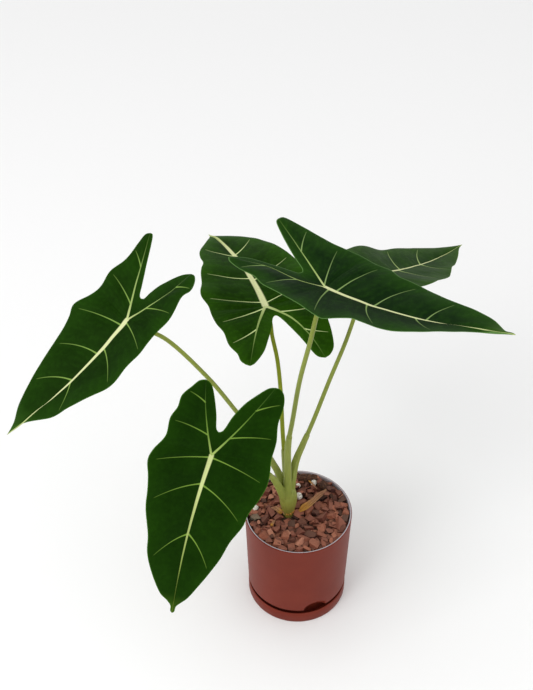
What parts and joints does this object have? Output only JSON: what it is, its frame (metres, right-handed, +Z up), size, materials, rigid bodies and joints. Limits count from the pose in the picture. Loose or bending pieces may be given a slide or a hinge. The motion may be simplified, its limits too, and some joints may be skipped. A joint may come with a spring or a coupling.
{
  "type": "potted alocasia",
  "caption": "Potted live plant with arrow-shaped, pale-veined leaves on long arching stalks, in a round pot topped with gravel, on its saucer.",
  "frame": {"origin": "middle of the saucer's flat underside", "axes": "+Z up, along the pot's axis; -Y towards the viewer of the picture; +X to the viewer's right, the side that blade_3 reaches out to"},
  "size_m": [0.4691, 0.3937, 0.5188],
  "materials": {
    "terracotta": "satin",
    "soil": "matte",
    "gravel": "matte",
    "pumice": "matte",
    "bark": "matte",
    "dry_sheath": "matte",
    "sheath": "satin",
    "stalk": "satin",
    "blade": "matte"
  },
  "bodies": {
    "root": {"saucer": "terracotta", "pot": "terracotta", "potting_mix": "soil", "gravel": "gravel", "pumice_1": "pumice", "pumice_2": "pumice", "pumice_3": "pumice", "pumice_4": "pumice", "bark_1": "bark", "bark_2": "bark", "dry_sheath_1": "dry_sheath", "dry_sheath_2": "dry_sheath", "crown": "sheath", "petiole_1": "stalk", "petiole_2": "stalk", "petiole_3": "stalk", "petiole_4": "stalk", "petiole_5": "stalk", "blade_1": "blade", "blade_2": "blade", "blade_3": "blade", "blade_4": "blade", "blade_5": "blade"}
  },
  "joints": []
}
